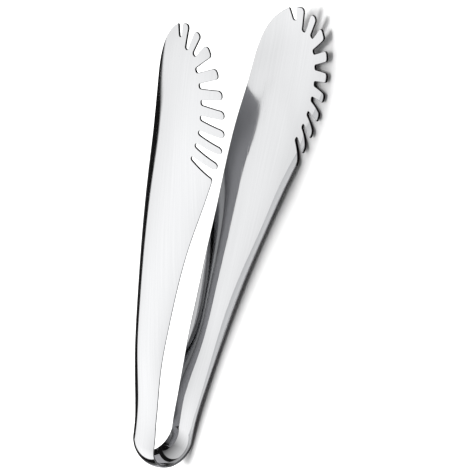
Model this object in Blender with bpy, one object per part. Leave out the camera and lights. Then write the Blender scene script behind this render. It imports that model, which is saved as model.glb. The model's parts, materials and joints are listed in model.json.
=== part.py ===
# Pasta tongs bent from one strip of polished steel sheet.
# Each arm is a stamped blank with a comb of ten slots down one side of its head,
# pressed into a gutter that runs on round the spring bow from one arm into the other.
# The tongs' own frame has X across the strip (comb side +X), Y from the bow to the
# heads and Z from the lower arm to the upper one, with the bow's centre at zero.

import math

import bmesh
import bpy
import numpy as np
from mathutils import Matrix, Vector

mm = 0.001

# Sheet and bow
sheet_thickness = 1.1 * mm
strip_width = 18.6 * mm         # round the bow
bow_radius = 16.1 * mm          # to the middle of the sheet, along the crown
bow_section_radius = 16.4 * mm  # of the gutter's section, all round the bow
seam_gap = 0.3 * mm             # between the bow and each arm

# Arms, measured from the bow's centre
arm_length = 255.5 * mm     # to the end of the comb's first tooth
comb_reach = 52.0 * mm      # across, to the outermost tooth
arm_rise = 22.5 * mm        # how far the crown line spreads from its start
blend_length = 20.0 * mm    # over which the bow's section turns into the arm's own

# Comb
slot_root_width = 2.5 * mm
root_round_share = 0.45           # of the slot's width, as the radius at its root
slot_spread = math.radians(7.5)   # each side of a slot leaves its middle line by this
tooth_tip_radius = 2.1 * mm
corner_radius = 1.2 * mm          # where the comb meets the plain edges
corner_room_share = 0.49          # of a side, the most that a rounded corner takes

# How the tongs lie on a table: on the lower arm, rolled towards the comb
rest_roll = math.radians(16.3)
rest_pitch = math.radians(8.1)

# Overrun of cutters, and how finely the sheet is divided
overrun = 2.0 * mm
probe_share = 0.1             # of the sheet's thickness, to measure its slope over
weld_share = 0.01             # of the sheet's thickness, the shortest edge kept
sharp_angle = math.radians(30.0)
section_columns = 12
blend_rows = 8
handle_rows = 18
head_rows = 14
head_start_share = 0.66
edge_steps = 40
round_steps = 3
bow_steps = 25

# The stretch from crown to edge is an arc of its own radius at each station
station_along_shares = (0.0, 0.055, 0.129, 0.215, 0.323, 0.43, 0.538, 0.646, 0.753, 0.861, 0.947, 1.012)
rise_shares = (0.0, 0.022, 0.142, 0.316, 0.476, 0.613, 0.738, 0.84, 0.933, 0.991, 1.0, 0.947)
crown_shares = (0.0, 0.008, 0.017, 0.035, 0.075, 0.133, 0.212, 0.30, 0.404, 0.481, 0.50, 0.50)
section_radius_shares = (0.33, 0.37, 0.395, 0.385, 0.433, 0.523, 0.644, 0.78, 1.0, 1.27, 1.27, 1.15)

# Plain edges: share of arm_length along, share of the flare out from the strip's own edge
left_edge_shares = (
    (0.02, 0.0), (0.06, -0.001), (0.10, -0.014), (0.21, -0.059), (0.31, -0.063), (0.415, -0.059),
    (0.52, -0.040), (0.62, -0.024), (0.725, 0.021), (0.83, 0.082), (0.877, 0.110), (0.916, 0.168),
    (0.945, 0.246), (0.9655, 0.335), (0.979, 0.419), (0.986, 0.483),
)
right_edge_shares = (
    (0.02, 0.002), (0.06, 0.007), (0.10, 0.027), (0.21, 0.098), (0.31, 0.196), (0.415, 0.323),
    (0.52, 0.485), (0.62, 0.667), (0.699, 0.818),
)

# Comb slots from the handle side round to the tip: share of comb_reach across, of arm_length along
slot_root_shares = (
    (0.640, 0.734), (0.690, 0.766), (0.725, 0.796), (0.737, 0.828), (0.731, 0.860),
    (0.690, 0.8916), (0.623, 0.919), (0.563, 0.947), (0.438, 0.950), (0.308, 0.966),
)
slot_mouth_shares = (
    (0.867, 0.711), (0.935, 0.749), (0.979, 0.7875), (0.996, 0.8286), (0.977, 0.870),
    (0.927, 0.911), (0.823, 0.951), (0.658, 0.9855), (0.469, 0.998), (0.258, 0.992),
)


def clear_scene():
    for item in list(bpy.data.objects):
        bpy.data.objects.remove(item, do_unlink=True)


def spline_bends(knots, values):
    """Second derivatives of the natural cubic spline through the knots."""
    count = len(knots)
    steps = np.diff(knots)
    matrix = np.eye(count)
    right = np.zeros(count)
    slopes = np.diff(values) / steps
    for i in range(1, count - 1):
        matrix[i, i - 1] = steps[i - 1]
        matrix[i, i] = 2.0 * (steps[i - 1] + steps[i])
        matrix[i, i + 1] = steps[i]
        right[i] = 6.0 * (slopes[i] - slopes[i - 1])
    return np.linalg.solve(matrix, right)


def spline(knots, values, at):
    """Natural cubic spline, carried on as straight lines past its ends."""
    knots = np.asarray(knots, float)
    values = np.asarray(values, float)
    at = np.asarray(at, float)
    bends = spline_bends(knots, values)
    inside = np.clip(at, knots[0], knots[-1])
    i = np.clip(np.searchsorted(knots, inside) - 1, 0, len(knots) - 2)
    step = knots[i + 1] - knots[i]
    a = (knots[i + 1] - inside) / step
    b = (inside - knots[i]) / step
    curve = a * values[i] + b * values[i + 1]
    curve += ((a ** 3 - a) * bends[i] + (b ** 3 - b) * bends[i + 1]) * step ** 2 / 6.0
    slope = (values[i + 1] - values[i]) / step
    slope += ((3.0 * b ** 2 - 1.0) * bends[i + 1] - (3.0 * a ** 2 - 1.0) * bends[i]) * step / 6.0
    return curve + slope * (at - inside)


def curve_through(points, count):
    """Smooth curve through plane points, as count points along it."""
    points = np.asarray(points, float)
    along = np.concatenate([[0.0], np.cumsum(np.linalg.norm(np.diff(points, axis=0), axis=1))])
    at = np.linspace(0.0, along[-1], count)
    return np.stack([spline(along, points[:, 0], at), spline(along, points[:, 1], at)], axis=1)


# The arm's slope where it leaves the bow decides how far round the bow goes
lead_angle = math.atan(arm_rise * float(
    (spline(station_along_shares, rise_shares, 0.0) - spline(station_along_shares, rise_shares, -1.0))
) / arm_length)
joint_along = -bow_radius * math.sin(lead_angle)
arm_start = joint_along + seam_gap * math.cos(lead_angle)
bow_sweep = math.pi - 2.0 * lead_angle

# The arms swing about the centroid of the bow's arc
hinge_along = -bow_radius * math.sin(0.5 * bow_sweep) / (0.5 * bow_sweep)


def section_depth(across, curvature):
    """How far the sheet has fallen below its crown line."""
    turned = np.sqrt(np.maximum(1.0 - (curvature * across) ** 2, 0.0))
    return curvature * across ** 2 / (1.0 + turned)


def pressed_height(x, y):
    """Height of the sheet's middle surface over the tongs' mid-plane."""
    share = np.asarray(y) / arm_length
    rise = bow_radius / math.cos(lead_angle) + arm_rise * spline(station_along_shares, rise_shares, share)
    across = x - comb_reach * spline(station_along_shares, crown_shares, share)
    own = np.clip((y - joint_along) / blend_length, 0.0, 1.0)
    own = own ** 2 * (3.0 - 2.0 * own)
    curvature = (1.0 - own) / bow_section_radius
    curvature += own / (comb_reach * spline(station_along_shares, section_radius_shares, share))
    return rise - section_depth(across, curvature)


def press(flat, side):
    """Carry points of the flat blank to the pressed sheet, edges staying square to it."""
    x, y, offset = flat[:, 0], flat[:, 1], flat[:, 2]
    probe = probe_share * sheet_thickness
    slope_x = (pressed_height(x + probe, y) - pressed_height(x - probe, y)) / (2.0 * probe)
    slope_y = (pressed_height(x, y + probe) - pressed_height(x, y - probe)) / (2.0 * probe)
    length = np.sqrt(1.0 + slope_x ** 2 + slope_y ** 2)
    pressed = np.empty_like(flat)
    pressed[:, 0] = x - offset * slope_x / length
    pressed[:, 1] = y - offset * slope_y / length
    pressed[:, 2] = side * (pressed_height(x, y) + offset / length)
    return pressed


def edge_curve(shares, side):
    """One plain edge of the blank, from the bow outwards."""
    flare = comb_reach - 0.5 * strip_width
    start = (side * 0.5 * strip_width, arm_start)
    places = [(side * 0.5 * strip_width + flare * out, arm_length * along) for along, out in shares]
    return curve_through([start] + places, edge_steps)


def slot_corners(root_share, mouth_share):
    """The four corners of a slot, and its side towards the handle first."""
    root = np.array([comb_reach * root_share[0], arm_length * root_share[1]])
    mouth = np.array([comb_reach * mouth_share[0], arm_length * mouth_share[1]])
    length = np.linalg.norm(mouth - root)
    out = (mouth - root) / length
    aside = np.array([-out[1], out[0]])
    root_half = 0.5 * slot_root_width
    mouth_half = root_half + length * math.tan(slot_spread)
    return (mouth - mouth_half * aside, root - root_half * aside,
            root + root_half * aside, mouth + mouth_half * aside)


def rounded(corners, radii):
    """Open run of corners with each one that has a radius turned into an arc."""
    points = [corners[0]]
    for before, corner, after, radius in zip(corners, corners[1:], corners[2:], radii[1:-1]):
        back = (before - corner) / np.linalg.norm(before - corner)
        ahead = (after - corner) / np.linalg.norm(after - corner)
        half = 0.5 * math.acos(np.clip(back @ ahead, -1.0, 1.0))
        room = corner_room_share * min(np.linalg.norm(before - corner), np.linalg.norm(after - corner))
        trim = min(radius / math.tan(half), room)
        radius = trim * math.tan(half)
        middle = corner + (back + ahead) / np.linalg.norm(back + ahead) * radius / math.sin(half)
        first = corner + back * trim - middle
        turn = math.pi - 2.0 * half
        turn = math.copysign(turn, first[1] * back[0] - first[0] * back[1])
        for i in range(2 * round_steps + 1):
            angle = turn * i / (2 * round_steps)
            c, s = math.cos(angle), math.sin(angle)
            points.append(middle + np.array([c * first[0] - s * first[1], s * first[0] + c * first[1]]))
    return points + [corners[-1]]


def blank_outline():
    """The stamped blank, anticlockwise from the bow's +X corner."""
    right = edge_curve(right_edge_shares, 1.0)
    left = edge_curve(left_edge_shares, -1.0)[::-1]
    corners, radii = [right[-2]], [0.0]
    root_radius = root_round_share * slot_root_width
    for number, (root, mouth) in enumerate(zip(slot_root_shares, slot_mouth_shares)):
        last = number == len(slot_root_shares) - 1
        corners += slot_corners(root, mouth)
        radii += [tooth_tip_radius if number else corner_radius, root_radius, root_radius,
                  corner_radius if last else tooth_tip_radius]
    corners.append(left[1])
    radii.append(0.0)
    return np.array(list(right[:-2]) + rounded(corners, radii) + list(left[2:]))


def prism(outline, height):
    """Closed prism standing on a plane outline."""
    mesh = bmesh.new()
    floor = [mesh.verts.new((x, y, -height)) for x, y in outline]
    face = mesh.faces.new(floor)
    top = bmesh.ops.extrude_face_region(mesh, geom=[face])
    raised = [item for item in top["geom"] if isinstance(item, bmesh.types.BMVert)]
    bmesh.ops.translate(mesh, verts=raised, vec=(0.0, 0.0, 2.0 * height))
    bmesh.ops.recalc_face_normals(mesh, faces=mesh.faces)
    return mesh


def slab_rows():
    """Places along the arm where the sheet is divided."""
    blended = joint_along + blend_length
    head = head_start_share * arm_length
    return np.concatenate([
        [arm_start - overrun],
        np.linspace(arm_start, blended, blend_rows)[:-1],
        np.linspace(blended, head, handle_rows)[:-1],
        np.linspace(head, arm_length + overrun, head_rows),
    ])


def slab(rows):
    """Flat sheet divided along the crown line, a little wider than the blank."""
    left = edge_curve(left_edge_shares, -1.0)
    right = edge_curve(right_edge_shares, 1.0)
    crown = comb_reach * spline(station_along_shares, crown_shares, rows / arm_length)
    reach = np.maximum(crown - np.interp(rows, left[:, 1], left[:, 0]),
                       np.interp(rows, right[:, 1], right[:, 0], right=comb_reach) - crown)
    reach = np.maximum(reach, 0.5 * strip_width) + overrun
    reach[rows > head_start_share * arm_length] = reach.max()
    across = crown[:, None] + reach[:, None] * np.linspace(-1.0, 1.0, section_columns + 1)
    along = np.repeat(rows[:, None], section_columns + 1, axis=1)
    mesh = bmesh.new()
    grid = [[mesh.verts.new((across[i, j], along[i, j], -0.5 * sheet_thickness))
             for j in range(section_columns + 1)] for i in range(len(rows))]
    for i in range(len(rows) - 1):
        for j in range(section_columns):
            mesh.faces.new((grid[i][j], grid[i][j + 1], grid[i + 1][j + 1], grid[i + 1][j]))
    top = bmesh.ops.extrude_face_region(mesh, geom=list(mesh.faces))
    raised = [item for item in top["geom"] if isinstance(item, bmesh.types.BMVert)]
    bmesh.ops.translate(mesh, verts=raised, vec=(0.0, 0.0, sheet_thickness))
    bmesh.ops.recalc_face_normals(mesh, faces=mesh.faces)
    return mesh


def add_object(name, source):
    """Link a bmesh to the scene as an object of its own."""
    data = bpy.data.meshes.new(name)
    source.to_mesh(data)
    source.free()
    item = bpy.data.objects.new(name, data)
    bpy.context.scene.collection.objects.link(item)
    return item


def steel(name):
    """Mirror-polished stainless steel."""
    material = bpy.data.materials.new(name)
    material.use_nodes = True
    shader = material.node_tree.nodes["Principled BSDF"]
    shader.inputs["Base Color"].default_value = (0.63, 0.63, 0.64, 1.0)
    shader.inputs["Metallic"].default_value = 1.0
    shader.inputs["Roughness"].default_value = 0.12
    return material


def finish(name, source):
    """A finished piece: smooth faces, crisp cut edges and polished steel of its own."""
    piece = add_object(name, source)
    piece.data.shade_smooth()
    piece.data.set_sharp_from_angle(angle=sharp_angle)
    piece.data.materials.append(steel(name + "_steel"))
    return piece


def stamped_blank():
    """Flat blank: the divided sheet trimmed to its outline."""
    sheet = add_object("sheet", slab(slab_rows()))
    die = add_object("die", prism(blank_outline(), sheet_thickness))
    die.hide_render = True
    die.display_type = "WIRE"
    trim = sheet.modifiers.new("stamp", "BOOLEAN")
    trim.operation = "INTERSECT"
    trim.solver = "EXACT"
    trim.object = die
    bpy.context.view_layer.update()
    ready = sheet.evaluated_get(bpy.context.evaluated_depsgraph_get())
    blank = bmesh.new()
    blank.from_mesh(ready.to_mesh())
    ready.to_mesh_clear()
    for item in (sheet, die):
        bpy.data.objects.remove(item, do_unlink=True)
    bmesh.ops.dissolve_degenerate(blank, dist=weld_share * sheet_thickness, edges=blank.edges)
    bmesh.ops.triangulate(blank, faces=blank.faces)
    return blank


def arm(name, side):
    """One arm pressed from the blank; side is +1 for the upper arm."""
    mesh = stamped_blank()
    flat = np.array([vertex.co for vertex in mesh.verts])
    for vertex, place in zip(mesh.verts, press(flat, side)):
        vertex.co = place
    if side < 0.0:
        bmesh.ops.reverse_faces(mesh, faces=mesh.faces)
    return finish(name, mesh)


def bow_section():
    """Across and radius of the bow's section: out along its outer face, back along its inner one."""
    across = strip_width * np.linspace(-0.5, 0.5, section_columns + 1)
    middle = bow_radius - section_depth(across, 1.0 / bow_section_radius)
    half_sheet = 0.5 * sheet_thickness / np.sqrt(1.0 - (across / bow_section_radius) ** 2)
    radius = np.concatenate([middle + half_sheet, (middle - half_sheet)[::-1]])
    return np.concatenate([across, across[::-1]]), radius


def bow(name):
    """The strip's turn: its section carried round the bow's centre, with plane sides."""
    across, radius = bow_section()
    mesh = bmesh.new()
    rings = []
    for share in np.linspace(0.0, 1.0, bow_steps + 1):
        angle = 0.5 * math.pi + lead_angle + share * bow_sweep
        rings.append([mesh.verts.new((x, r * math.cos(angle), r * math.sin(angle)))
                      for x, r in zip(across, radius)])
    for ring, after in zip(rings, rings[1:]):
        for i in range(len(ring)):
            mesh.faces.new((ring[i - 1], ring[i], after[i], after[i - 1]))
    for ring in (rings[0], rings[-1]):
        for i in range(section_columns):
            mesh.faces.new((ring[i], ring[i + 1], ring[-i - 2], ring[-i - 1]))
    bmesh.ops.recalc_face_normals(mesh, faces=mesh.faces)
    return finish(name, mesh)


def lay_down(pieces, upper):
    """Turn the tongs to their resting pose, lowest point on the table, box centred over zero."""
    turn = Matrix.Rotation(rest_pitch, 4, "X") @ Matrix.Rotation(rest_roll, 4, "Y")
    corners = np.concatenate([[turn @ vertex.co for vertex in piece.data.vertices] for piece in pieces])
    low, high = corners.min(axis=0), corners.max(axis=0)
    lift = Vector((-0.5 * (low[0] + high[0]), -0.5 * (low[1] + high[1]), -low[2]))
    pose = bpy.data.objects.new("rest_pose", None)
    bpy.context.scene.collection.objects.link(pose)
    pose.matrix_world = Matrix.Translation(lift) @ turn
    hinge = Vector((0.0, hinge_along, 0.0))
    for piece in pieces:
        piece.parent = pose
        if piece is upper:
            piece.data.transform(Matrix.Translation(-hinge))
            piece.location = hinge
    return pose, hinge


def build():
    clear_scene()
    lower = arm("lower_arm", -1.0)
    upper = arm("upper_arm", 1.0)
    spring = bow("spring_bow")
    pose, hinge = lay_down([lower, upper, spring], upper)
    bpy.context.view_layer.update()
    axis = pose.matrix_world.to_3x3() @ Vector((1.0, 0.0, 0.0))
    print("hinge point", [round(v, 6) for v in pose.matrix_world @ hinge])
    print("hinge axis", [round(v, 6) for v in axis])
    across, radius = bow_section()
    chord = math.cos(0.5 * bow_sweep / bow_steps)
    side = Vector((across[0], -0.5 * (radius[0] + radius[-1]) * chord, 0.0))
    print("bow edge point", [round(v, 6) for v in pose.matrix_world @ side])
    print("bow edge normal", [round(-v, 6) for v in axis])


build()
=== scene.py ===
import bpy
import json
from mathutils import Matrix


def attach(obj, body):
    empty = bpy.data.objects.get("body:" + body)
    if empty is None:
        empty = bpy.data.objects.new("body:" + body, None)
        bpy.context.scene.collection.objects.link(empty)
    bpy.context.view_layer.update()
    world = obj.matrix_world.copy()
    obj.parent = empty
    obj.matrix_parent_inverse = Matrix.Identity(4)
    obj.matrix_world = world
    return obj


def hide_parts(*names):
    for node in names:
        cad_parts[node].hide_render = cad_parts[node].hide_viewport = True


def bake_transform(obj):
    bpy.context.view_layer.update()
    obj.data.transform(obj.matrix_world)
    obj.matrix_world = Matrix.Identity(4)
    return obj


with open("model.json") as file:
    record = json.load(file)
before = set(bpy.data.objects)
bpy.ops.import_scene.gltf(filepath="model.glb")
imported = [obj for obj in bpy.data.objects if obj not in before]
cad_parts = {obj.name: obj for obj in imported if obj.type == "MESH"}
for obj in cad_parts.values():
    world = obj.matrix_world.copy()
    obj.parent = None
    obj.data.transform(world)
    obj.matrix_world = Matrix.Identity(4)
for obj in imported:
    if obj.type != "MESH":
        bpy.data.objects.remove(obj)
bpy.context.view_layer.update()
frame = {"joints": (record.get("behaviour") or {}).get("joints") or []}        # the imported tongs: bodies, nodes, joints and record

import json
import math

import bpy
import numpy as np
from mathutils import Matrix, Vector, geometry

mm = 0.001
mapSpan = 300.0 * mm     # of the flat blank, which the UV map's square covers

# The steel strip, in the tongs' own frame: X across it, comb side +X, Y from the
# bow to the heads, Z from the lower arm to the upper one, zero at the bow's centre
strip = {
    "thickness": 1.1 * mm,
    "width": 18.6 * mm,              # round the bow
    "bowRadius": 16.1 * mm,          # to the middle of the sheet, along the crown
    "bowSectionRadius": 16.4 * mm,   # of the gutter's section, all round the bow
    "edgeRound": 0.24 * mm,          # stamped edges, tumbled smooth
    "edgeSteps": 4,                  # facets of each quarter round
    "probeShare": 0.05,              # of the thickness: the step that slopes are worked out over
    "armLength": 255.5 * mm,
    "combReach": 52.0 * mm,
    "armRise": 22.5 * mm,            # of the crown, from the bow's level
    "blendLength": 20.0 * mm,        # over which the bow's section turns into the arm's own
    # places along the arm as shares of its length; there, the crown's share of the rise,
    # and as shares of the comb's reach its x and the gutter's radius
    "stationShares": (
        0.0, 0.055, 0.129, 0.215, 0.323, 0.43, 0.538, 0.646, 0.753, 0.861, 0.947, 1.012),
    "riseShares": (0.0, 0.022, 0.142, 0.316, 0.476, 0.613, 0.738, 0.84, 0.933, 0.991, 1.0, 0.947),
    "crownShares": (0.0, 0.008, 0.017, 0.035, 0.075, 0.133, 0.212, 0.30, 0.404, 0.481, 0.50, 0.50),
    "radiusShares": (0.33, 0.37, 0.395, 0.385, 0.433, 0.523, 0.644, 0.78, 1.0, 1.27, 1.27, 1.15),
}

# The stamped blank: plain edges as shares of the arm's length along and of the flare out,
# slots from the handle side round to the tip as shares of the comb's reach and the arm's length
blank = {
    "leftEdge": (
        (0.02, -0.001), (0.06, -0.005), (0.10, -0.019), (0.21, -0.057), (0.31, -0.057),
        (0.415, -0.052), (0.52, -0.032), (0.62, -0.012), (0.725, 0.036), (0.83, 0.087),
        (0.877, 0.111), (0.916, 0.166), (0.945, 0.244), (0.9655, 0.335), (0.979, 0.419),
        (0.986, 0.483)),
    "rightEdge": (
        (0.02, 0.002), (0.06, 0.007), (0.10, 0.027), (0.21, 0.098), (0.31, 0.196), (0.415, 0.323),
        (0.52, 0.485), (0.62, 0.667), (0.699, 0.818)),
    "slotRoots": (
        (0.640, 0.734), (0.690, 0.766), (0.725, 0.796), (0.737, 0.828), (0.731, 0.860),
        (0.690, 0.8916), (0.623, 0.919), (0.563, 0.947), (0.438, 0.950), (0.308, 0.966)),
    "slotMouths": (
        (0.867, 0.711), (0.935, 0.749), (0.979, 0.7875), (0.996, 0.8286), (0.977, 0.870),
        (0.927, 0.911), (0.823, 0.951), (0.658, 0.9855), (0.469, 0.998), (0.258, 0.992)),
    "slotWidth": 2.5 * mm,
    "rootRoundShare": 0.45,          # of the slot's width
    "slotSpread": 7.5,               # degrees that each side turns from the slot's middle line
    "toothRound": 2.1 * mm,
    "cornerRound": 1.2 * mm,
    "roomShare": 0.49,               # most of a side that a rounded corner takes
    "rawAndShadeSlots": 1.0,                 # how dull the cut is left and how dark it is painted, as the shade its walls mirror: in the slots,
    "rawAndShadeComb": 0.65,                 # along the handle on the comb side,
    "rawAndShadePlain": 0.6,                 # and along the plain side and the bow
    "rawAndShadeFade": 0.3,                  # power of the cosine by which it fades round the edge
    "edgePoints": 160,
    "arcPoints": 14,
    "outlineStep": 0.6 * mm,
    "meshStep": 1.25 * mm,           # between points inside the outline
    "clearShare": 0.55,              # of that step, which they keep from the outline
    "groups": 24,                    # that the points are tested in, to spare memory
    "sameSpot": 1e-6,                # mm: points nearer than this are one
}

# The press leaves the flanks flatter than an arc. Small heights are added across the sheet, from
# a plain line to a comb line, whose x are shares of the comb's reach; all change along the arm
flank = {
    "stationShares": (
        0.0, 0.129, 0.215, 0.323, 0.431, 0.538, 0.646, 0.724, 0.783, 0.841, 0.92, 1.01),
    "plainShares": (
        -0.179, -0.201, -0.228, -0.230, -0.225, -0.210,
        -0.192, -0.162, -0.133, -0.107, 0.010, 0.070),
    "combShares": (
        0.179, 0.215, 0.263, 0.352, 0.462, 0.603, 0.767, 0.799, 0.712, 0.740, 0.878, 0.885),
    "acrossShares": (0.0, 0.2, 0.4, 0.6, 0.8, 1.0),
    "leastShare": -0.3,              # how far past the plain line the heights run on
    "heights": (                     # mm, a row for each share across, of the upper arm
        (0.0, 0.10, -0.04, -0.17, -0.18, -0.10, -0.07, -0.28, -0.25, -0.04, 0.03, 0.0),
        (0.0, 0.25, 0.20, -0.08, -0.32, -0.67, -1.03, -1.19, -1.14, -0.88, -0.41, 0.0),
        (0.0, 0.35, 0.35, -0.12, -0.57, -1.12, -1.40, -1.37, -1.24, -0.86, -0.43, 0.0),
        (0.0, 0.25, 0.25, -0.26, -0.76, -1.16, -1.28, -1.15, -0.86, -0.45, -0.20, 0.0),
        (0.0, 0.10, 0.10, -0.30, -0.64, -0.82, -0.83, -0.65, -0.27, -0.07, -0.01, 0.0),
        (0.0,) * 12),
    "lowerArm": (                    # mm to add in the lower arm, which came out a little different
        (0.0, 0.0, 0.0, 0.0, 0.0, 0.0, 0.0, -0.20, 0.20, 0.40, 0.10, 0.0),
        (0.0, 0.0, 0.0, 0.0, 0.0, 0.0, 0.0, 0.20, 0.18, -0.08, 0.04, 0.0),
        (0.0, 0.0, 0.0, 0.0, 0.0, 0.03, 0.05, 0.10, 0.12, -0.07, -0.02, 0.0),
        (0.0, 0.0, 0.0, 0.0, 0.0, 0.0, 0.0, -0.07, -0.24, -0.09, -0.05, 0.0),
        (0.0,) * 12,
        (0.0,) * 12),
}

# How the tongs lie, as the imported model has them
rest = {"roll": 16.3, "pitch": 8.1}  # degrees, towards the comb and up at the heads


def splineBends(knots, values):
    # second derivatives of the natural cubic spline, zero at both ends, from its three-term rows
    steps = np.diff(knots)
    slopes = np.diff(values) / steps
    rows = np.eye(len(knots))
    inner = np.arange(1, len(knots) - 1)
    rows[inner, inner - 1] = steps[:-1]
    rows[inner, inner] = 2.0 * (steps[:-1] + steps[1:])
    rows[inner, inner + 1] = steps[1:]
    right = np.zeros(len(knots))
    right[1:-1] = 6.0 * np.diff(slopes)
    return np.linalg.solve(rows, right)


def splineAt(knots, values, at):
    # natural cubic spline, carried on straight past its ends: between two knots, with shares a
    # and b of each, the straight line plus (a^3 - a) and (b^3 - b) of their bends * step^2 / 6
    knots, values, at = (np.asarray(part, float) for part in (knots, values, at))
    bends = splineBends(knots, values)
    inside = np.clip(at, knots[0], knots[-1])
    i = np.clip(np.searchsorted(knots, inside) - 1, 0, len(knots) - 2)
    step = knots[i + 1] - knots[i]
    a, b = (knots[i + 1] - inside) / step, (inside - knots[i]) / step
    curve = a * values[i] + b * values[i + 1]
    curve += ((a ** 3 - a) * bends[i] + (b ** 3 - b) * bends[i + 1]) * step ** 2 / 6.0
    slope = (values[i + 1] - values[i]) / step
    slope += ((3.0 * b ** 2 - 1.0) * bends[i + 1] - (3.0 * a ** 2 - 1.0) * bends[i]) * step / 6.0
    return curve + slope * (at - inside)


def curveThrough(points, count):
    # plane spline through the points, each coordinate a spline of the length along the chords
    points = np.asarray(points, float)
    along = np.concatenate([[0.0], np.cumsum(np.linalg.norm(np.diff(points, axis=0), axis=1))])
    at = np.linspace(0.0, along[-1], count)
    return np.stack([splineAt(along, points[:, k], at) for k in (0, 1)], axis=1)


# The slope of the arm at the bow sets how far round the bow runs and where the hinge is: at
# the arc's centroid, its radius times the sine of half its sweep over that half
firstRise = np.diff(splineAt(strip["stationShares"], strip["riseShares"], [-1.0, 0.0]))[0]
leadAngle = math.atan(strip["armRise"] * firstRise / strip["armLength"])
jointAlong = -strip["bowRadius"] * math.sin(leadAngle)
bowSweep = math.pi - 2.0 * leadAngle
hingeAlong = -strip["bowRadius"] * math.sin(0.5 * bowSweep) / (0.5 * bowSweep)


def restTurn():
    # roll about Y, then pitch about X
    roll, pitch = math.radians(rest["roll"]), math.radians(rest["pitch"])
    aboutY = np.array([[math.cos(roll), 0, math.sin(roll)],
                       [0, 1, 0],
                       [-math.sin(roll), 0, math.cos(roll)]])
    aboutX = np.array([[1, 0, 0],
                       [0, math.cos(pitch), -math.sin(pitch)],
                       [0, math.sin(pitch), math.cos(pitch)]])
    return aboutX @ aboutY


turn = restTurn()
lift = np.array(frame["joints"][0]["pos_m"]) - turn @ np.array([0.0, hingeAlong, 0.0])
print("tongs lie rolled", rest["roll"], "and pitched", rest["pitch"], "degrees")


def sectionDepth(across, bend):
    # sagitta of the gutter's arc: bend x^2 / (1 + sqrt(1 - bend^2 x^2))
    return bend * across ** 2 / (1.0 + np.sqrt(np.maximum(1.0 - (bend * across) ** 2, 0.0)))


def flankHeight(x, share, side):
    # natural spline across the sheet through the heights that hold at this share of the arm,
    # as the sum of each height times the spline that is 1 at its place and 0 at the others
    share = np.clip(share, flank["stationShares"][0], flank["stationShares"][-1])
    plain, comb = (strip["combReach"] * splineAt(flank["stationShares"], flank[line], share)
                   for line in ("plainShares", "combShares"))
    across = np.clip((x - plain) / (comb - plain), flank["leastShare"], 1.0)
    total = np.zeros_like(across)
    heights = np.array(flank["heights"])
    if side < 0.0:
        heights = heights + flank["lowerArm"]
    for row, alone in zip(heights, np.eye(len(heights))):
        height = mm * splineAt(flank["stationShares"], row, share)
        total += height * splineAt(flank["acrossShares"], alone, across)
    return total


def pressedHeight(x, y, side):
    # middle of the sheet: the crown's height less the sagitta of the gutter's arc there, whose
    # bend goes smoothly from the bow's section to the arm's own, plus the flank's height
    share = y / strip["armLength"]
    rise, crown, radius = (splineAt(strip["stationShares"], strip[line], share)
                           for line in ("riseShares", "crownShares", "radiusShares"))
    height = strip["bowRadius"] / math.cos(leadAngle)
    height = height + strip["armRise"] * rise
    across = x - strip["combReach"] * crown
    own = np.clip((y - jointAlong) / strip["blendLength"], 0.0, 1.0)
    own = own ** 2 * (3.0 - 2.0 * own)
    bend = own / (strip["combReach"] * radius)
    depth = sectionDepth(across, bend + (1.0 - own) / strip["bowSectionRadius"])
    return height - depth + flankHeight(x, share, side)


def sheetNormal(flat, side):
    # upward normal of the pressed sheet, from central differences of its height
    probe = strip["probeShare"] * strip["thickness"]
    x, y = flat[..., 0], flat[..., 1]
    slopeX = (pressedHeight(x + probe, y, side) - pressedHeight(x - probe, y, side)) / (2.0 * probe)
    slopeY = (pressedHeight(x, y + probe, side) - pressedHeight(x, y - probe, side)) / (2.0 * probe)
    normal = np.stack([-slopeX, -slopeY, np.ones_like(x)], axis=-1)
    return normal / np.linalg.norm(normal, axis=-1, keepdims=True)


def pressSheet(flat, offset, side):
    # the blank's points carried to the pressed sheet, offset square to it
    x, y = flat[..., 0], flat[..., 1]
    return np.stack([x, y, pressedHeight(x, y, side)], axis=-1) + offset * sheetNormal(flat, side)


def plainEdge(shares, side):
    # curve from the seam's corner through the edge's places, each half the strip's width plus
    # a share of the flare out, and a share of the arm along
    flare = strip["combReach"] - 0.5 * strip["width"]
    half = side * 0.5 * strip["width"]
    points = [(half + flare * out, strip["armLength"] * along) for along, out in shares]
    return curveThrough([(half, jointAlong)] + points, blank["edgePoints"])


def slotCorners(rootShare, mouthShare):
    # two corners each side of the middle line: half the width at the root, and at the mouth the
    # slot's length times the spread's tangent more
    root = np.array(rootShare) * (strip["combReach"], strip["armLength"])
    mouth = np.array(mouthShare) * (strip["combReach"], strip["armLength"])
    length = np.linalg.norm(mouth - root)
    out = (mouth - root) / length
    aside = np.array([-out[1], out[0]])
    rootHalf = 0.5 * blank["slotWidth"]
    mouthHalf = rootHalf + length * math.tan(math.radians(blank["slotSpread"]))
    return [mouth - mouthHalf * aside, root - rootHalf * aside,
            root + rootHalf * aside, mouth + mouthHalf * aside]


def roundCorner(before, corner, after, radius):
    # arc that touches both sides of a corner, turned from one touching point to the other; its
    # middle is on the bisector, at the radius over the sine of half the corner's angle
    back = (before - corner) / np.linalg.norm(before - corner)
    ahead = (after - corner) / np.linalg.norm(after - corner)
    half = 0.5 * math.acos(float(np.clip(back @ ahead, -1.0, 1.0)))
    room = blank["roomShare"] * min(np.linalg.norm(before - corner), np.linalg.norm(after - corner))
    trim = min(radius / math.tan(half), room)
    radius = trim * math.tan(half)
    middle = corner + (back + ahead) / np.linalg.norm(back + ahead) * radius / math.sin(half)
    first = corner + back * trim - middle
    sweep = math.copysign(math.pi - 2.0 * half, first[1] * back[0] - first[0] * back[1])
    angle = np.linspace(0.0, sweep, blank["arcPoints"])[:, None]
    return middle + np.cos(angle) * first + np.sin(angle) * np.array([-first[1], first[0]])


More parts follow.
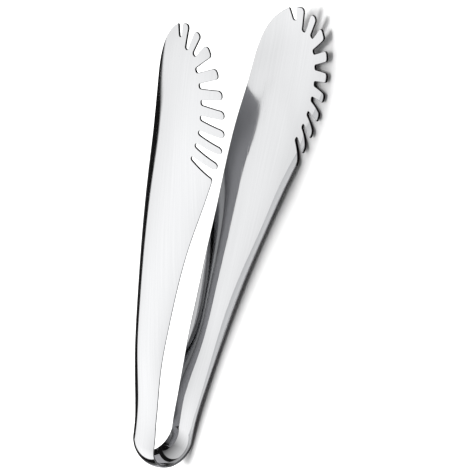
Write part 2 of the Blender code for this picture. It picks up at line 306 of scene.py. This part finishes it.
def blankOutline():
    # comb-side edge, comb, plain edge and the seam at the bow, anticlockwise; the number of the
    # seam's first point, and at each point how raw the cut edge is and how dark it is painted as
    # shade
    right = plainEdge(blank["rightEdge"], 1.0)
    left = plainEdge(blank["leftEdge"], -1.0)[::-1]
    corners, radii = [right[-2]], [0.0]
    rootRound = blank["rootRoundShare"] * blank["slotWidth"]
    last = len(blank["slotRoots"]) - 1
    for number, (root, mouth) in enumerate(zip(blank["slotRoots"], blank["slotMouths"])):
        corners += slotCorners(root, mouth)
        radii += [blank["toothRound"] if number else blank["cornerRound"], rootRound, rootRound,
                  blank["cornerRound"] if number == last else blank["toothRound"]]
    corners.append(left[1])
    arcs = [roundCorner(*three, radius)
            for *three, radius in zip(corners, corners[1:], corners[2:], radii[1:])]
    cut = evenRun(np.concatenate([right[:-1], *arcs, left[1:]]))
    seam = evenRun(np.stack([left[-1], right[0]]))
    outline = np.concatenate([cut, seam[1:-1]])
    combStart, combEnd = (np.linalg.norm(cut - corner, axis=1).argmin()
                          for corner in (corners[0], corners[-1]))
    place = np.arange(len(outline))
    rawAndShade = np.where(place <= combEnd, blank["rawAndShadeSlots"], blank["rawAndShadePlain"])
    rawAndShade = np.where(place < combStart, blank["rawAndShadeComb"], rawAndShade)
    return outline, len(cut) - 1, rawAndShade


def evenRun(points):
    # long sides divided to the outline's step, so that they follow the pressed sheet
    sides = np.linalg.norm(np.diff(points, axis=0), axis=1)
    pieces = np.maximum(np.ceil(sides / blank["outlineStep"]).astype(int), 1)
    number = np.repeat(np.arange(len(sides)), pieces)
    part = np.arange(pieces.sum()) - np.repeat(np.cumsum(pieces) - pieces, pieces)
    share = (part / pieces[number])[:, None]
    run = points[number] * (1.0 - share) + points[number + 1] * share
    return np.concatenate([run, points[-1:]])


def outwardOf(outline, seamStart):
    # the mean direction of the two sides that meet at a point of the anticlockwise outline,
    # turned right a quarter; straight sideways at the seam's ends
    sides = np.roll(outline, -1, axis=0) - outline
    sides /= np.linalg.norm(sides, axis=1, keepdims=True)
    tangent = sides + np.roll(sides, 1, axis=0)
    tangent[0], tangent[seamStart] = (0.0, 1.0), (0.0, -1.0)
    tangent /= np.linalg.norm(tangent, axis=1, keepdims=True)
    return np.stack([tangent[:, 1], -tangent[:, 0]], axis=1)


def insidePoints(outline):
    # grid of equal triangles, of which the points stay that lie inside the outline, where a line
    # to the side crosses it an odd number of times, and clear of it
    step = blank["meshStep"]
    low, high = outline.min(axis=0), outline.max(axis=0)
    rowStep = step * math.sin(math.pi / 3)
    xs, ys = np.meshgrid(np.arange(low[0], high[0], step), np.arange(low[1], high[1], rowStep))
    xs = xs + 0.5 * step * (np.arange(len(xs)) % 2)[:, None]
    points = np.stack([xs.ravel(), ys.ravel()], axis=1)
    start, end = outline, np.roll(outline, -1, axis=0)
    side = end - start
    keep = []
    for group in np.array_split(points, blank["groups"]):
        above = (start[:, 1] > group[:, None, 1]) != (end[:, 1] > group[:, None, 1])
        drop = np.where(side[:, 1] == 0.0, 1.0, side[:, 1])
        crossing = start[:, 0] + (group[:, None, 1] - start[:, 1]) * side[:, 0] / drop
        inside = np.sum(above & (group[:, None, 0] < crossing), axis=1) % 2 == 1
        away = group[:, None] - start
        share = np.clip(np.sum(away * side, axis=2) / np.sum(side * side, axis=1), 0.0, 1.0)
        gap = np.linalg.norm(away - share[..., None] * side, axis=2).min(axis=1)
        keep.append(group[inside & (gap > blank["clearShare"] * step)])
    return np.concatenate(keep)


def meshFrom(name, places, triangles, normals, cornerNormals, flat, rawAndShade):
    # mesh of triangles with its own smooth normals, the blank's flat place as its UV map, and as an
    # attribute how raw its cut edges are and how dark they are painted as shade
    mesh = bpy.data.meshes.new(name)
    count = len(triangles)
    mesh.vertices.add(len(places))
    mesh.vertices.foreach_set("co", places.astype(np.float32).ravel())
    mesh.loops.add(3 * count)
    mesh.loops.foreach_set("vertex_index", triangles.astype(np.int32).ravel())
    mesh.polygons.add(count)
    mesh.polygons.foreach_set("loop_start", np.arange(0, 3 * count, 3, dtype=np.int32))
    mesh.polygons.foreach_set("use_smooth", np.ones(count, dtype=bool))
    mesh.update(calc_edges=True)
    corners = normals[triangles]
    chosen, value = cornerNormals
    corners[chosen] = value
    mesh.normals_split_custom_set(corners.reshape(-1, 3).tolist())
    layer = mesh.uv_layers.new(name="stripMap")
    mapped = flat[triangles].reshape(-1, 2) / mapSpan + 0.5
    layer.data.foreach_set("uv", mapped.astype(np.float32).ravel())
    # how raw the cut is and how much painted shade darkens it
    rawEdgeAndShade = mesh.attributes.new("rawEdgeAndShade", "FLOAT", "POINT")
    rawEdgeAndShade.data.foreach_set("value", rawAndShade.astype(np.float32))
    item = bpy.data.objects.new(name, mesh)
    bpy.context.scene.collection.objects.link(item)
    return item


def edgeProfile():
    # across the sheet's edge from upper to lower face: quarter arc, straight wall, quarter arc
    quarter = np.linspace(0.5 * math.pi, 0.0, strip["edgeSteps"] + 1)
    angle = np.concatenate([quarter, -quarter[::-1]])
    inset = strip["edgeRound"] * (1.0 - np.cos(angle))
    straight = 0.5 * strip["thickness"] - strip["edgeRound"]
    centre = np.repeat([straight, -straight], len(quarter))
    return angle, inset, centre + strip["edgeRound"] * np.sin(angle)


def ringWalls(rings, count):
    # two triangles from each side of a closed ring to the ring after it
    k, i = np.meshgrid(np.arange(rings - 1), np.arange(count), indexing="ij")
    a, b = (k * count + i).ravel(), (k * count + (i + 1) % count).ravel()
    return np.concatenate([np.stack([a, a + count, b + count], axis=1),
                           np.stack([a, b + count, b], axis=1)])


def armPiece(name, side):
    # both faces share one triangulation of the blank; the edge profile is carried round the outline
    outline, seamStart, rawAndShade = blankOutline()
    outward = outwardOf(outline, seamStart)
    angle, inset, offset = edgeProfile()
    rings, count = len(angle), len(outline)
    cutIn = outward * (np.arange(count) <= seamStart)[:, None]   # the seam itself isn't rounded
    innermost = outline - strip["edgeRound"] * cutIn
    inner = insidePoints(innermost)
    flat = np.concatenate([innermost, inner])
    answer = geometry.delaunay_2d_cdt((flat / mm).tolist(), [], [list(range(count))], 1,
                                      blank["sameSpot"])
    chosen = np.array(answer[3])[:, 0]
    faces = chosen[np.array(answer[2])]

    ring = outline[None] - inset[:, None, None] * cutIn[None]
    ringUp = sheetNormal(ring, side)
    along = np.stack([-outward[:, 1], outward[:, 0]], axis=1)[None]
    along = along * (strip["probeShare"] * strip["thickness"])
    alongPressed = pressSheet(ring + along, 0.0, side) - pressSheet(ring - along, 0.0, side)
    ringOut = np.cross(alongPressed, ringUp)
    ringOut /= np.linalg.norm(ringOut, axis=-1, keepdims=True)
    ringPlace = pressSheet(ring, offset[:, None, None], side)
    ringNormal = np.cos(angle)[:, None, None] * ringOut + np.sin(angle)[:, None, None] * ringUp

    half = 0.5 * strip["thickness"]
    upper, lower = pressSheet(inner, half, side), pressSheet(inner, -half, side)
    innerUp = sheetNormal(inner, side)
    places = np.concatenate([ringPlace.reshape(-1, 3), upper, lower])
    normals = np.concatenate([ringNormal.reshape(-1, 3), innerUp, -innerUp])
    flats = np.concatenate([ring.reshape(-1, 2), inner, inner])
    # the cut's rawness and its painted shade fade round the edge from the wall to the faces
    rawAndShadeRing = np.cos(angle)[:, None] ** blank["rawAndShadeFade"] * rawAndShade
    rawsAndShade = np.concatenate([rawAndShadeRing.ravel(), np.zeros(2 * len(inner))])

    topBase = rings * count - count
    top = np.where(faces < count, faces, faces + topBase)
    bottom = np.where(faces < count, faces + (rings - 1) * count, faces + topBase + len(inner))
    wall = ringWalls(rings, count)
    triangles = np.concatenate([top, bottom[:, ::-1], wall])

    # the seam's flat end is the wall from the seam's first point on
    isWall = np.tile(np.arange(count) >= seamStart, len(wall) // count)
    isSeam = np.concatenate([np.zeros(2 * len(faces), bool), isWall])
    seamOut = np.array([0.0, -math.cos(leadAngle), -math.sin(leadAngle)])
    return finishArm(name, side, places, normals, triangles, flats, isSeam, seamOut, rawsAndShade)


def finishArm(name, side, places, normals, triangles, flats, isSeam, seamOut, rawsAndShade):
    # the lower arm mirrored in Z, with its triangles turned round, and both laid as they rest
    if side < 0.0:
        triangles = triangles[:, ::-1]
    mirror = np.array([1.0, 1.0, side])
    places = (places * mirror) @ turn.T + lift
    normals = (normals * mirror) @ turn.T
    seamNormals = isSeam, turn @ (seamOut * mirror)
    return meshFrom(name, places, triangles, normals, seamNormals, flats, rawsAndShade)


bow = {
    "columns": 16,                   # divisions across the strip
    "turns": 96,                     # and round the bend
    "bendShare": 0.94,               # of the bow's radius, above and below which it doesn't bend
}


def bowSection():
    # ring round the strip's section: flat place across, offset from mid-sheet, way it faces
    angle, inset, offset = edgeProfile()
    half = 0.5 * strip["width"]
    columns = np.linspace(1.0, -1.0, bow["columns"] + 1)[1:-1] * (half - strip["edgeRound"])
    face = np.full(len(columns), 0.5 * math.pi)
    flat = np.concatenate([half - inset, columns, -half + inset[::-1], -columns])
    out = np.concatenate([offset, np.full(len(columns), offset[-1]),
                          offset[::-1], np.full(len(columns), offset[0])])
    return flat, out, np.concatenate([angle, -face, math.pi - angle[::-1], face])


def bowPiece(name):
    # the section, an arc across the strip, carried round the bow: across, and at each angle
    # the radius times its cosine and sine
    flat, out, facing = bowSection()
    leanX = flat / strip["bowSectionRadius"]             # sheet's normal across, and outward
    leanR = np.sqrt(1.0 - leanX ** 2)
    across = flat + out * leanX
    radius = strip["bowRadius"] - sectionDepth(flat, 1.0 / strip["bowSectionRadius"]) + out * leanR
    sideways = np.cos(facing) * leanR + np.sin(facing) * leanX
    outwards = np.sin(facing) * leanR - np.cos(facing) * leanX

    count, rows = len(flat), bow["turns"] + 1
    place = 0.5 * math.pi + leadAngle + np.linspace(0.0, bowSweep, rows)[:, None]
    wide = np.ones((rows, 1))
    places = np.stack([wide * across, radius * np.cos(place), radius * np.sin(place)], axis=-1)
    normals = np.stack(
        [wide * sideways, outwards * np.cos(place), outwards * np.sin(place)], axis=-1)
    along = jointAlong - strip["bowRadius"] * (place - place[0])
    flats = np.stack([wide * flat, along * np.ones(count)], axis=-1)

    walls = ringWalls(rows, count)
    # an end joins each point to the one across the sheet from it
    order = np.roll(np.arange(count), -(strip["edgeSteps"] + 1))
    one, two = order[:count // 2], order[::-1][:count // 2]
    first = np.concatenate([np.stack([one[:-1], one[1:], two[1:]], axis=1),
                            np.stack([one[:-1], two[1:], two[:-1]], axis=1)])
    last = first[:, ::-1] + (rows - 1) * count
    ends = [np.zeros(len(walls), bool), np.ones(2 * len(first), bool)]
    startOut = np.array([0.0, math.cos(leadAngle), math.sin(leadAngle)])
    endOut = startOut * (1.0, 1.0, -1.0)
    endNormals = np.repeat(np.stack([turn @ startOut, turn @ endOut]), len(first), axis=0)[:, None]
    # the bow's edges: raw cut and painted shade, fading round the edge
    rawAndShade = np.tile(blank["rawAndShadePlain"] * np.abs(np.cos(facing)) ** blank["rawAndShadeFade"], rows)
    places = places.reshape(-1, 3) @ turn.T + lift
    normals = normals.reshape(-1, 3) @ turn.T
    triangles = np.concatenate([walls, first, last])
    cornerNormals = np.concatenate(ends), endNormals
    return meshFrom(name, places, triangles, normals, cornerNormals, flats.reshape(-1, 2), rawAndShade)


def addNode(tree, kind, **settings):
    # new shader node with its own settings
    node = tree.nodes.new(kind)
    for key, value in settings.items():
        setattr(node, key, value)
    return node


def linked(tree, source, socket):
    # the source feeds the socket
    tree.links.new(source, socket)


def rangeOf(tree, source, fromRange, toRange=(0.0, 1.0), smooth=False):
    # source carried evenly or smoothly from one range to the other, and held at its ends
    way = "SMOOTHSTEP" if smooth else "LINEAR"
    node = addNode(tree, "ShaderNodeMapRange", interpolation_type=way)
    node.inputs["From Min"].default_value, node.inputs["From Max"].default_value = fromRange
    node.inputs["To Min"].default_value, node.inputs["To Max"].default_value = toRange
    linked(tree, source, node.inputs["Value"])
    return node.outputs["Result"]


def mathOf(tree, operation, *sources):
    # one operation on numbers; each is fixed or a node's output
    node = addNode(tree, "ShaderNodeMath", operation=operation)
    for socket, source in zip(node.inputs, sources):
        if isinstance(source, float):
            socket.default_value = source
        else:
            linked(tree, source, socket)
    return node.outputs[0]


def mixOf(tree, share, first, second):
    # colour that goes from the first to the second; each is a fixed colour or a node's output
    node = addNode(tree, "ShaderNodeMix", data_type="RGBA")
    colours = [socket for socket in node.inputs if socket.type == "RGBA"]
    for socket, source in zip(colours, (first, second)):
        if isinstance(source, tuple):
            socket.default_value = source
        else:
            linked(tree, source, socket)
    linked(tree, share, node.inputs[0])
    return [socket for socket in node.outputs if socket.type == "RGBA"][0]


def noiseOf(tree, place, scale, detail, turnBy=0.0):
    # noise with about one bump in each 1/scale of the place's unit, its grain turned in the sheet
    mapping = addNode(tree, "ShaderNodeMapping")
    mapping.inputs["Rotation"].default_value = (0.0, 0.0, math.radians(turnBy))
    mapping.inputs["Scale"].default_value = scale
    linked(tree, place, mapping.inputs["Vector"])
    noise = addNode(tree, "ShaderNodeTexNoise")
    noise.inputs["Scale"].default_value = 1.0
    noise.inputs["Detail"].default_value = detail
    linked(tree, mapping.outputs["Vector"], noise.inputs["Vector"])
    return noise.outputs["Fac"]


steel = {
    "bright": (0.622, 0.626, 0.634, 1.0),
    "buffed": (0.600, 0.604, 0.612, 1.0),    # where the buffing lines lie closest
    "cut": (0.016, 0.016, 0.017, 1.0),       # stamped edge: the dull cut, painted near black as the shade that its walls mirror
    "buffScale": (330.0, 5.0, 1.0),          # lines along the strip, in the UV map's unit
    "buffDetail": 4.0,
    "buffFrom": (0.35, 0.65),                # of the noise, from bright to buffed
    "hazeScale": (34.0, 34.0, 34.0),         # soft clouds of the polish, to the metre
    "hazeDetail": 2.0,
    "hazeFrom": (0.32, 0.68),
    "haze": (0.035, 0.085),                  # roughness from bright to hazy polish
    "scratchScale": (900.0, 9.0, 1.0),
    "scratchDetail": 1.0,
    "scratchTurns": (17.0, -38.0),           # degrees from the strip's length
    "scratchFrom": (0.70, 0.78),             # of the noise: only its highest ridges show
    "scratchRough": 0.10,                    # roughness that a scratch adds,
    "cutRough": 0.42,                        # and that the raw cut adds
    "bumpDepth": 0.002 * mm,
}


def polishedSteel(name):
    # mirror polish: buffing lines tone it, the raw-cut mask paints its edges near black as painted
    # shade, and its roughness is the clouds' haze plus what scratches and the raw cut add
    material = bpy.data.materials.new(name)
    material.use_nodes = True
    tree = material.node_tree
    shader = tree.nodes["Principled BSDF"]
    shader.inputs["Metallic"].default_value = 1.0
    sheet = addNode(tree, "ShaderNodeUVMap", uv_map="stripMap").outputs["UV"]
    solid = addNode(tree, "ShaderNodeTexCoord").outputs["Object"]
    rawAndShade = addNode(tree, "ShaderNodeAttribute", attribute_name="rawEdgeAndShade").outputs["Fac"]

    buffing = noiseOf(tree, sheet, steel["buffScale"], steel["buffDetail"])
    clouds = noiseOf(tree, solid, steel["hazeScale"], steel["hazeDetail"])
    scratches = []
    for angle in steel["scratchTurns"]:
        ridges = noiseOf(tree, sheet, steel["scratchScale"], steel["scratchDetail"], angle)
        scratches.append(rangeOf(tree, ridges, steel["scratchFrom"]))
    scratch = mathOf(tree, "MAXIMUM", *scratches)

    buffed = rangeOf(tree, buffing, steel["buffFrom"])
    tone = mixOf(tree, buffed, steel["bright"], steel["buffed"])
    # painted shade: where the raw-cut mask is, the colour goes to the near-black cut
    linked(tree, mixOf(tree, rawAndShade, tone, steel["cut"]), shader.inputs["Base Color"])
    rough = rangeOf(tree, clouds, steel["hazeFrom"], steel["haze"], smooth=True)
    rough = mathOf(tree, "MULTIPLY_ADD", scratch, steel["scratchRough"], rough)
    rough = mathOf(tree, "MULTIPLY_ADD", rawAndShade, steel["cutRough"], rough)
    linked(tree, rough, shader.inputs["Roughness"])
    bump = addNode(tree, "ShaderNodeBump")
    bump.inputs["Distance"].default_value = steel["bumpDepth"]
    linked(tree, mathOf(tree, "SUBTRACT", buffing, scratch), bump.inputs["Height"])
    linked(tree, bump.outputs["Normal"], shader.inputs["Normal"])
    return material


def dress(piece, node):
    # its own steel, and the CAD node that it stands for hidden
    piece.data.materials.append(polishedSteel(node + "Steel"))
    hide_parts(node)


upperArm = armPiece("upperArmSheet", 1.0)
lowerArm = armPiece("lowerArmSheet", -1.0)
bowSheet = bowPiece("springBowSheet")
pieces = (upperArm, lowerArm, bowSheet)
print("strip pressed:", sum(len(piece.data.polygons) for piece in pieces), "triangles")
dress(upperArm, "upper_arm")
dress(lowerArm, "lower_arm")
dress(bowSheet, "spring_bow")
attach(upperArm, "upper_half")
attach(lowerArm, "lower_half")
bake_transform(bowSheet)
print("tongs dressed and hung on their bodies")


# A round white table, which the photograph shows whiter than its steel mirrors it
table = {
    "reach": 0.75,
    "sides": 96,
    "drop": 0.02 * mm,               # below the tongs
    "colour": (0.9, 0.9, 0.9, 1.0),
    "paintedShadeInSteel": (0.26, 0.26, 0.27, 1.0),      # painted shade: the table's colour in the steel, inside the painted pool of light
    "paintedShadeInSteelFar": (0.02, 0.02, 0.02, 1.0),   # and past it, painted darker still
    "paintedPool": (0.20, 0.27),            # metres from the middle, between which the painted pool of light ends
    "roughness": 0.85,
}


def studioTable():
    # flat disc whose colour in the steel is painted shade, darker with the distance from its middle
    around = np.linspace(0.0, 2.0 * math.pi, table["sides"] + 1)[:-1]
    rim = table["reach"] * np.stack([np.cos(around), np.sin(around), np.zeros_like(around)], axis=1)
    rim[:, 2] = -table["drop"]
    mesh = bpy.data.meshes.new("studioTable")
    mesh.from_pydata(rim.tolist(), [], [list(range(len(rim)))])
    item = bpy.data.objects.new("studioTable", mesh)
    bpy.context.scene.collection.objects.link(item)
    material = bpy.data.materials.new("whiteTable")
    material.use_nodes = True
    tree = material.node_tree
    shader = tree.nodes["Principled BSDF"]
    place = addNode(tree, "ShaderNodeTexCoord").outputs["Object"]
    away = addNode(tree, "ShaderNodeVectorMath", operation="LENGTH")
    linked(tree, place, away.inputs[0])
    far = rangeOf(tree, away.outputs["Value"], table["paintedPool"], smooth=True)
    mirrored = mixOf(tree, far, table["paintedShadeInSteel"], table["paintedShadeInSteelFar"])
    # painted shade: glossy rays see the table darker than the camera does
    glossy = addNode(tree, "ShaderNodeLightPath").outputs["Is Glossy Ray"]
    linked(tree, mixOf(tree, glossy, table["colour"], mirrored), shader.inputs["Base Color"])
    shader.inputs["Roughness"].default_value = table["roughness"]
    mesh.materials.append(material)


studioTable()

softbox = {
    "towards": (0.095, -0.08, 0.985),    # from the tongs to the lamp
    "distance": 1.6,                     # metres
    "size": 0.85,
    "power": 36.0,                       # watts
}


def overheadSoftbox():
    # square lamp at its distance from the tongs, turned towards them
    data = bpy.data.lights.new("overheadSoftbox", "AREA")
    data.shape = "SQUARE"
    data.size = softbox["size"]
    data.energy = softbox["power"]
    item = bpy.data.objects.new("overheadSoftbox", data)
    towards = Vector(softbox["towards"]).normalized()
    item.location = towards * softbox["distance"]
    item.rotation_euler = towards.to_track_quat("Z", "Y").to_euler()
    item.visible_glossy = False      # the sky already holds all that the steel mirrors
    bpy.context.scene.collection.objects.link(item)


overheadSoftbox()
print("table and lamp set up")

# The studio's walls: a bright soft screen behind the bow, a dimmer one at the tongs' left, and
# dark below the level at which they begin
sky = {
    "gap": (0.20, 0.25),             # sine of the height between which the screens begin
    "brightTowards": (-0.25, -0.87, 0.43),
    "brightRange": (-0.35, 1.0),     # cosine from that direction, from dark to brightest
    "bright": 1.55,
    "sideTowards": (-0.91, 0.0, 0.41),
    "sideRange": (0.0, 1.0),
    "side": 0.88,
    "below": 0.01,
    "backdrop": 0.85,                # what the camera sees past the table
}


def towardsOf(tree, direction, towards):
    # cosine of the angle between the two directions
    node = addNode(tree, "ShaderNodeVectorMath", operation="DOT_PRODUCT")
    linked(tree, direction, node.inputs[0])
    node.inputs[1].default_value = Vector(towards).normalized()
    return node.outputs["Value"]


def studioSky():
    # below, plus above the gap the brighter of the two screens, each of which grows evenly with
    # the cosine from its direction; the camera itself sees at least the pale backdrop
    world = bpy.data.worlds.new("studioSky")
    bpy.context.scene.world = world
    world.use_nodes = True
    tree = world.node_tree
    direction = addNode(tree, "ShaderNodeTexCoord").outputs["Generated"]
    above = rangeOf(tree, towardsOf(tree, direction, (0.0, 0.0, 1.0)), sky["gap"], smooth=True)
    screens = [rangeOf(tree, towardsOf(tree, direction, sky[screen + "Towards"]),
                       sky[screen + "Range"], (0.0, sky[screen])) for screen in ("bright", "side")]
    screen = mathOf(tree, "MAXIMUM", *screens)
    light = mathOf(tree, "MULTIPLY_ADD", above, screen, sky["below"])
    straight = addNode(tree, "ShaderNodeLightPath").outputs["Is Camera Ray"]
    seen = mathOf(tree, "MULTIPLY", straight, sky["backdrop"])
    background = tree.nodes["Background"]
    linked(tree, mathOf(tree, "MAXIMUM", light, seen), background.inputs["Strength"])
    background.inputs["Color"].default_value = (1.0, 1.0, 1.0, 1.0)


studioSky()

# The camera as it stands in the tongs' own frame: its right, up and back axes, and its place
camera = {
    "right": (0.61058, 0.1293, -0.78133),
    "up": (-0.39646, 0.90396, -0.16022),
    "back": (0.68558, 0.40759, 0.6032),
    "place": (1019.32 * mm, 723.71 * mm, 865.86 * mm),
    "lens": 211.14,                  # mm, as the sensor's width is
    "sensor": 36.0,
}


def studioCamera():
    # axes and place turned and lifted as the tongs are
    data = bpy.data.cameras.new("studioCamera")
    data.sensor_width = camera["sensor"]
    data.lens = camera["lens"]
    item = bpy.data.objects.new("studioCamera", data)
    axes = np.stack([camera["right"], camera["up"], camera["back"]], axis=1)
    item.rotation_euler = Matrix((turn @ axes).tolist()).to_euler()
    item.location = turn @ camera["place"] + lift
    bpy.context.scene.collection.objects.link(item)
    bpy.context.scene.camera = item


studioCamera()
bpy.context.scene.view_settings.view_transform = "Standard"
print("sky and camera set up")
